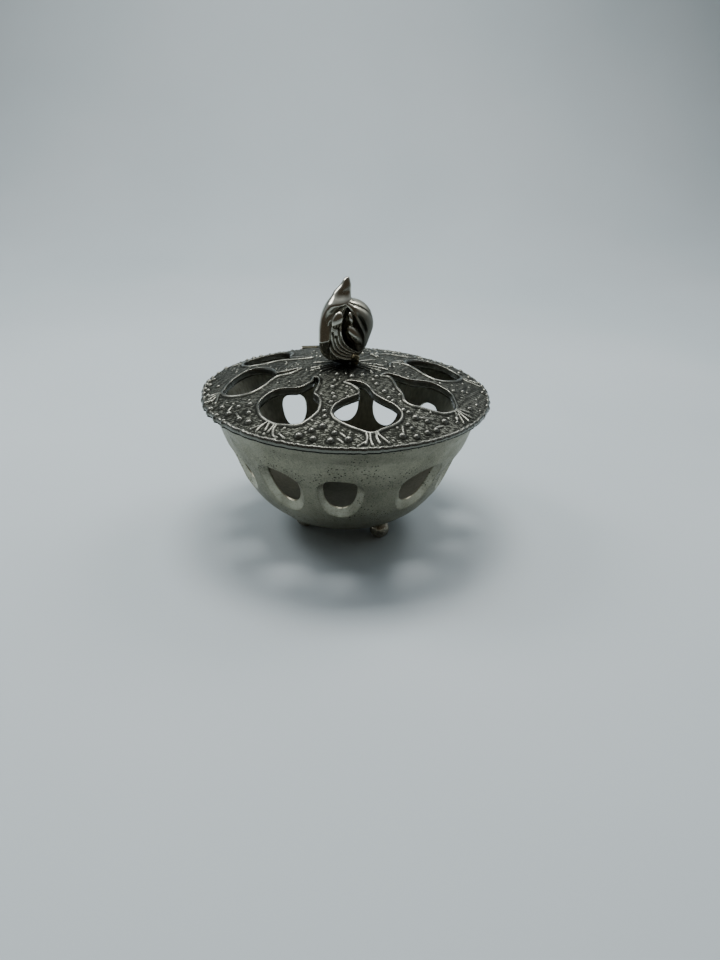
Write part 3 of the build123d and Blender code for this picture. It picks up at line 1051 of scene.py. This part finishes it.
def make_lid(material, under_material):
    """The openwork lid: a top with all its relief and a plain underside, each triangulated flat and
    then domed, and joined round the edge and through every opening."""
    wires = [smooth(place(az, uv), 0.4, closed=True) for az, uv in BULBS.items()]
    roots = [smooth(place(az, uv), 0.5) for az, lines in ROOTS.items() for uv in lines]
    holes = [inward(wire, WIRE_TO_EDGE) for wire in wires]
    outer = lid_edge()
    box = LID_R + 1
    warp_at = spoke(WARP_AZIMUTH, LID_R)
    parts = MeshParts()
    relief = []
    skins = []
    for under, step in ((False, LID_TOP_STEP), (True, LID_UNDER_STEP)):
        fill = grid_points((-box, -box), (box, box), step)
        flat, faces = triangulate(outer, holes, [], fill, step * 0.55)
        z = lid_top(np.hypot(*flat.T))
        if under:
            relief.append(np.zeros(len(flat)))
            z = np.maximum(z - LID_THICK, LID_BOTTOM_Z) + 0.05 * wobble(flat, 7, 51)
            z += WARP * np.exp(-((np.linalg.norm(flat - warp_at, axis=1) / WARP_SPREAD) ** 2))
        else:
            relief.append(lid_relief(flat, wires, roots, holes))
            z = z + relief[-1]
        index = parts.add_points(np.column_stack([flat, z]))
        parts.add_faces(index[faces], flip=under, slot=int(under))
        skins.append(rings_of(index, [outer, *holes]))
    for loop, upper, lower in zip([outer, *holes], *skins):
        points = np.vstack(parts.points)
        top_z, under_z = points[upper, 2], points[lower, 2]
        if loop is outer:
            rows, worn = edge_rows(loop, under_z), 0.14
        else:
            rows, worn = opening_rows(loop, top_z, under_z), 0.05
        relief += [np.full(len(row), worn) for row in rows]
        between = [parts.add_points(row) for row in rows]
        parts.chain([upper, *between, lower], flip=loop is not outer)
    piece = parts.build("lid_openwork", material, under_material)
    store_values(piece.data, "relief", np.concatenate(relief))
    merge_near(piece.data, 1e-7)
    store_hollows(piece.data, 4)
    return piece


# ---------------------------------------------------------------- finial


def bands(share, turn, limits, rise):
    """Round-backed bands with grooves between them, as a height over shares of 0 to 1."""
    height = np.zeros(len(turn))
    for limit, deep, start, gain in limits:
        cut = np.clip((turn - start) / 10, 0, 1)
        away = abs(share - limit - gain * (turn - 90) / 90)
        height -= cut * deep * rise * np.exp(-((away / GROOVE_HALF) ** 1.3))
    return height


def finial_body():
    """The bulb: a ring of columns that run from the hollow's middle, over its lip, round the
    outline and to the middle of the back."""
    angles = full_turn(FINIAL_COLUMNS)
    middle = np.array(FINIAL_MIDDLE)
    outline = radius_towards(smooth(FINIAL_OUTLINE, 0.3, closed=True) - middle, angles)
    lip = radius_towards(smooth(FINIAL_LIP, 0.3, closed=True) - middle, angles)
    way = np.stack([np.cos(angles), np.sin(angles)], 1)
    turn = np.degrees(angles)
    left_from, ease_in, left_to, ease_out = LEFT_SIDE
    left = np.clip((turn - left_from) / ease_in, 0, 1)
    left = left * np.clip((left_to - turn) / ease_out, 0, 1)
    left = left * left * (3 - 2 * left)
    # the bulb is thinner where the stalk grows out of it
    front = FINIAL_FRONT * (1 - 0.4 * np.exp(-(((turn - 108) / 34) ** 2)))
    slit_at, slit_half, slit_deep, slit_turn, slit_spread = SLIT
    slit_deep = slit_deep * np.exp(-(((turn - slit_turn) / slit_spread) ** 4))
    parts = MeshParts()
    rows = []
    steep = left + 0.25 * (1 - left)
    for t in np.linspace(0.02, 0.98, HOLLOW_ROWS):
        sink = HOLLOW_DEPTH * (steep * np.sqrt(1 - t**4) + (1 - steep) * (1 - t**2))
        rows.append((lip * t, -front + sink + 0.2))
    for t in np.linspace(0, 1, FRONT_ROWS):
        at = np.sin(t * pi / 2) ** ROUND_OUT
        away = lip + (outline - lip) * at
        dome = -front * np.cos(t * pi / 2) ** ROUND_UP
        room = np.clip((outline - lip) / 5, 0.25, 1)
        skin_left = bands(at, turn, LEFT_BANDS, 1.3)
        skin_right = bands(at, turn, RIGHT_BANDS, 1.1)
        skin_right -= slit_deep * np.exp(-(((at - slit_at) / slit_half) ** 4))
        skin = (skin_left * left + skin_right * (1 - left)) * room * min(1.0, (1 - at) / 0.04)
        rows.append((away, dome - skin))
    for t in np.linspace(1, 0, BACK_ROWS)[1:-1]:
        at = np.sin(t * pi / 2) ** ROUND_OUT
        dome = FINIAL_BACK * np.cos(t * pi / 2) ** ROUND_UP
        skin = bands(at, turn + 1, BACK_BANDS, 1.2) * min(1.0, (1 - at) / 0.04)
        rows.append((outline * at, dome + skin))
    rings = []
    for away, y in rows:
        flat = middle + way * np.reshape(away, (-1, 1))
        rings.append(parts.add_points(np.column_stack([flat[:, 0], y, flat[:, 1]])))
    parts.stack(rings)
    return parts


def finial_stalk(parts):
    """The twisted stalk, with a flat on its front, which broadens into the lobe on the left."""
    angles = full_turn(72)
    scoop_z, scoop_half, scoop_deep, scoop_turn = SCOOP
    front = np.clip(-np.sin(angles - radians(scoop_turn)), 0, 1) ** 3
    rings = []
    for z, across, deep, half_width, half_depth in smooth(STALK, 0.4):
        squash = 1 - scoop_deep * np.exp(-(((z - scoop_z) / scoop_half) ** 2)) * front
        power = np.interp(z, (32.0, 38.5), (0.5, 1.0))
        x = across + half_width * power_of(np.cos(angles), power) * squash
        y = deep + half_depth * power_of(np.sin(angles), power) * squash
        lift = np.interp(z, (19.0, 30.0), (0.4, 0.0)) * (x - across)
        rings.append(parts.add_points(np.column_stack([x, y, z + lift])))
    parts.stack(rings)


def finial_lump(parts, centre, size, tilt):
    """An egg-shaped lump, such as the clove in the hollow."""
    turn = np.array(Matrix.Rotation(radians(tilt), 3, "Y"))
    around = full_turn(64)
    rings = []
    for polar in np.linspace(0, pi, 32)[1:-1]:
        x = sin(polar) * np.cos(around)
        y = sin(polar) * np.sin(around)
        ball = np.column_stack([x, y, np.full(len(around), cos(polar))])
        rings.append(parts.add_points(centre + (ball * size) @ turn.T))
    parts.stack(rings, flip=True)


def unite(piece, voxel):
    """Makes the piece's overlapping solids one, by remeshing, and relaxes the result a little."""
    remesh = piece.modifiers.new("unite", "REMESH")
    remesh.mode = "VOXEL"
    remesh.voxel_size = voxel * MM
    relax = piece.modifiers.new("relax", "SMOOTH")
    relax.factor = 0.5
    relax.iterations = 2
    graph = bpy.context.evaluated_depsgraph_get()
    mesh = bpy.data.meshes.new_from_object(piece.evaluated_get(graph))
    piece.modifiers.clear()
    piece.data = mesh
    mesh.polygons.foreach_set("use_smooth", [True] * len(mesh.polygons))


def store_hollows(mesh, rounds):
    """Stores how far each vertex lies below the smoothed surface, in millimetres."""
    count = len(mesh.vertices)
    points, normals = np.empty(count * 3), np.empty(count * 3)
    mesh.vertices.foreach_get("co", points)
    mesh.vertices.foreach_get("normal", normals)
    points, normals = points.reshape(-1, 3), normals.reshape(-1, 3)
    ends = np.empty(len(mesh.edges) * 2, int)
    mesh.edges.foreach_get("vertices", ends)
    a, b = ends.reshape(-1, 2).T
    links = np.maximum(np.bincount(a, minlength=count) + np.bincount(b, minlength=count), 1)
    soft = points
    for _ in range(rounds):
        total = [np.bincount(a, s[b], count) + np.bincount(b, s[a], count) for s in soft.T]
        soft = np.stack(total, 1) / links[:, None]
    store_values(mesh, "hollow", ((soft - points) * normals).sum(1) / MM)


def make_finial(material):
    """The garlic bulb, turned a little to the left and made one mesh with its stalk and lumps."""
    parts = finial_body()
    finial_stalk(parts)
    for lump in LUMPS:
        finial_lump(parts, *lump)
    piece = parts.build("finial_garlic", material)
    turn = Matrix.Rotation(radians(CAMERA_AZIMUTH), 4, "Z")
    piece.data.transform(Matrix.Translation((0, 0, LID_EDGE_Z * MM)) @ turn)
    unite(piece, FINIAL_VOXEL)
    store_hollows(piece.data, 12)
    return piece


# ---------------------------------------------------------------- feet, stud and nut


def turned_piece(name, material, rows, outline):
    """A closed piece of stacked rings (centre x, centre y, height, radius). outline gives the
    radius for each angle."""
    angles = full_turn(96)
    parts = MeshParts()
    rings = []
    for x, y, z, radius in rows:
        r = outline(angles, radius, z)
        ring = [x + r * np.cos(angles), y + r * np.sin(angles), np.full(len(angles), z)]
        rings.append(parts.add_points(np.column_stack(ring)))
    parts.stack(rings)
    return parts.build(name, material)


def measured(node):
    """A CAD node's lowest and highest corners, its middle and half its width, in millimetres."""
    low, high = (np.array(corner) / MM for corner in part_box(node))
    return low, high, (low + high) / 2, (high[0] - low[0]) / 2


def make_foot(node, material, seed):
    """A cast ball, a little uneven, worn flat where it stands."""
    _, _, middle, ball_r = measured(node)
    rows = []
    for polar in np.linspace(0.02, pi * 0.93, 44):
        z = ball_r - 0.2 - ball_r * cos(polar)
        rows.append((middle[0], middle[1], z, ball_r * sin(polar)))
    phase = np.random.default_rng(seed).uniform(0, 2 * pi, 4)

    def uneven(angles, radius, z):
        wave = np.sin(2 * angles + phase[0] + 0.5 * z) + np.sin(3 * angles + phase[1] - 0.7 * z)
        wave += 0.6 * np.sin(5 * angles + phase[2] + 1.3 * z) + 0.5 * np.sin(z * 1.6 + phase[3])
        return radius * (1 + 0.018 * wave) - 0.05

    foot = turned_piece(node + "_cast", material, rows, uneven)
    for vertex in foot.data.vertices:
        vertex.co.z = max(vertex.co.z, 0.0)
    return foot


def make_stud(material):
    """A threaded stud, which above the lid is a rough lump that leans to the front."""
    low, _, middle, radius = measured("finial_stud")
    lid_z = lid_top(np.hypot(middle[0], middle[1]))
    lump_top = lid_z + 6.4
    lean = 1.05
    pitch = 0.7
    rows = []
    for z in np.arange(low[2], lump_top, 0.07):
        above = max(0.0, z - lid_z)
        forward = lean * above
        side = forward * sin(radians(CAMERA_AZIMUTH))
        size = radius + 0.4 * sin(min(1.0, above / 4.6) * pi / 2)
        size *= np.sqrt(max(0.02, 1 - max(0.0, (above - 4.4) / 2.0) ** 2))
        rows.append((middle[0] + side, middle[1] - forward, z, size))

    def threads_and_lump(angles, size, z):
        thread = 0.16 * np.abs(((z / pitch + angles / (2 * pi)) % 1) * 2 - 1)
        rough = 0.12 * np.sin(3 * angles + z * 1.9) + 0.1 * np.sin(5 * angles - z * 3.1)
        return size - thread * (z < lid_z + 0.3) + rough * (z > lid_z + 0.3)

    return turned_piece("stud_brass", material, rows, threads_and_lump)


def make_nut(material):
    """A six-sided nut with chamfered corners, threaded on the stud."""
    low, high, middle, corner_r = measured("finial_nut")
    chamfer = 0.4
    bore = 1.3
    heights = [low[2], low[2], low[2] + chamfer, high[2] - chamfer, high[2], high[2]]
    radii = [bore, corner_r - chamfer, corner_r, corner_r, corner_r - chamfer, bore]
    rows = [(middle[0], middle[1], z, radius) for z, radius in zip(heights, radii)]

    def six_sided(angles, radius, z):
        across = corner_r * cos(pi / 6) / np.cos((angles + pi / 6) % (pi / 3) - pi / 6)
        return np.minimum(radius, across)

    return turned_piece("nut_six_sided", material, rows, six_sided)


# ---------------------------------------------------------------- camera and light


def aim_camera():
    """The camera stands in front and above, a little left of the front, tilted down."""
    away, height_angle = 308.0, radians(20.14)
    pitch, yaw, roll = radians(27.19), radians(1.37), radians(1.87)
    spot = Vector((0, -away * cos(height_angle), away * sin(height_angle)))
    ahead = Vector((sin(yaw) * cos(pitch), cos(yaw) * cos(pitch), -sin(pitch)))
    right = ahead.cross(Vector((0, 0, 1))).normalized()
    up = right.cross(ahead)
    tilted_right = right * cos(roll) + up * sin(roll)
    tilted_up = up * cos(roll) - right * sin(roll)
    turn = Matrix.Rotation(radians(CAMERA_AZIMUTH), 3, "Z")
    axes = Matrix((turn @ tilted_right, turn @ tilted_up, turn @ -ahead)).transposed()
    camera = bpy.data.objects.new("camera", bpy.data.cameras.new("camera"))
    camera.data.sensor_width = 36
    camera.data.lens = 27.04
    camera.data.clip_start = 0.01
    place_at = (turn @ spot + Vector((0, 0, LID_EDGE_Z))) * MM
    camera.matrix_world = Matrix.Translation(place_at) @ axes.to_4x4()
    bpy.context.scene.collection.objects.link(camera)
    bpy.context.scene.camera = camera


def make_floor(material):
    """A floor that sweeps up into a backdrop behind the object."""
    turn = Matrix.Rotation(radians(CAMERA_AZIMUTH), 3, "Z")
    section = [(-1200, 0), (-200, 0), (150, 0), (420, 0), (560, 14), (690, 60), (800, 150)]
    section += [(870, 280), (900, 450), (910, 900), (915, 1300)]
    across = np.linspace(-1200, 1200, 9)
    rows = []
    parts = MeshParts()
    for y, z in smooth(section, 25):
        rows.append(parts.add_points([turn @ Vector((x, y, z)) for x in across]))
    parts.chain(rows, closed=False)
    floor = parts.build("floor", material)
    return floor


def area_light(name, spot, target, size, power, colour=(1, 1, 1)):
    data = bpy.data.lights.new(name, "AREA")
    data.shape = "RECTANGLE"
    data.size, data.size_y = size
    data.energy = power
    data.color = colour
    light = bpy.data.objects.new(name, data)
    light.location = spot
    light.rotation_euler = (Vector(target) - Vector(spot)).to_track_quat("-Z", "Y").to_euler()
    bpy.context.scene.collection.objects.link(light)
    return light


def light_scene():
    """A room that is bright above and behind the object and dim and brownish behind the camera, and
    four area lights: above, left and right behind, and on the backdrop."""
    world = bpy.data.worlds.new("studio")
    bpy.context.scene.world = world
    world.use_nodes = True
    tree = world.node_tree
    where = tree.nodes.new("ShaderNodeTexCoord")
    facing = tree.nodes.new("ShaderNodeVectorMath")
    facing.operation = "DOT_PRODUCT"
    turn = radians(CAMERA_AZIMUTH)
    facing.inputs[1].default_value = (sin(turn) * -0.82, cos(turn) * 0.82, 0.57)
    lift = tree.nodes.new("ShaderNodeMapRange")
    lift.inputs["From Min"].default_value = -1
    ramp = tree.nodes.new("ShaderNodeValToRGB")
    tree.links.new(where.outputs["Generated"], facing.inputs[0])
    tree.links.new(facing.outputs["Value"], lift.inputs["Value"])
    tree.links.new(lift.outputs[0], ramp.inputs["Fac"])
    dim, bright = ramp.color_ramp.elements
    dim.position = 0.42
    dim.color = (0.082, 0.07, 0.055, 1)
    bright.position = 0.72
    bright.color = (0.42, 0.46, 0.5, 1)
    tree.links.new(ramp.outputs["Color"], tree.nodes["Background"].inputs["Color"])
    target = (0, 0, 0.03)
    area_light("top", (0.0, 0.13, 0.62), target, (0.3, 0.2), 3.2, (1, 0.99, 0.97))
    area_light("left", (-0.5, 0.34, 0.66), target, (0.3, 0.3), 2.8, (0.98, 0.99, 1))
    area_light("backdrop", (0, 0.5, 0.8), (0, 0.95, 0.42), (0.5, 0.2), 2.6, (0.97, 0.99, 1))
    area_light("right", (0.5, 0.34, 0.66), target, (0.3, 0.3), 2.1, (0.98, 0.99, 1))


# ---------------------------------------------------------------- assembly

satin = satin_pewter("satin_pewter", 0.5, 1.0)
hinge_metal = satin_pewter("hinge_pewter", 0.1, 0.22)
lining = inner_pewter()
antiqued = antiqued_pewter()
polished = polished_pewter()
foot_metal = foot_pewter()
brass_metal = brass()
steel_metal = steel()

bowl = make_bowl(satin, lining)
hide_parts("bowl_body")
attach(bowl, "bowl")

lid = make_lid(antiqued, lining)
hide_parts("lid_plate")
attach(lid, "lid")

finial = make_finial(polished)
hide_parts("finial_bulb")
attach(finial, "lid")

small_parts = {
    "finial_stud": (make_stud(brass_metal), "brass_stud", "lid"),
    "finial_nut": (make_nut(brass_metal), "brass_stud", "lid"),
}
for seed, node_name in enumerate(("front_left", "front_right", "back_left", "back_right")):
    node_name = "foot_" + node_name
    small_parts[node_name] = (make_foot(node_name, foot_metal, 60 + seed), "pewter_feet", "bowl")
for node_name, (piece, slot, body) in small_parts.items():
    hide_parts(node_name)
    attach(piece, body)

carried_over = {
    "bowl_hinge_leaf": hinge_metal,
    "lid_hinge_leaf": antiqued,
    "hinge_pin": steel_metal,
}
for node_name, metal in carried_over.items():
    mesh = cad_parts[node_name].data
    mesh.materials.clear()
    mesh.materials.append(metal)

make_floor(table_paint())
light_scene()
aim_camera()
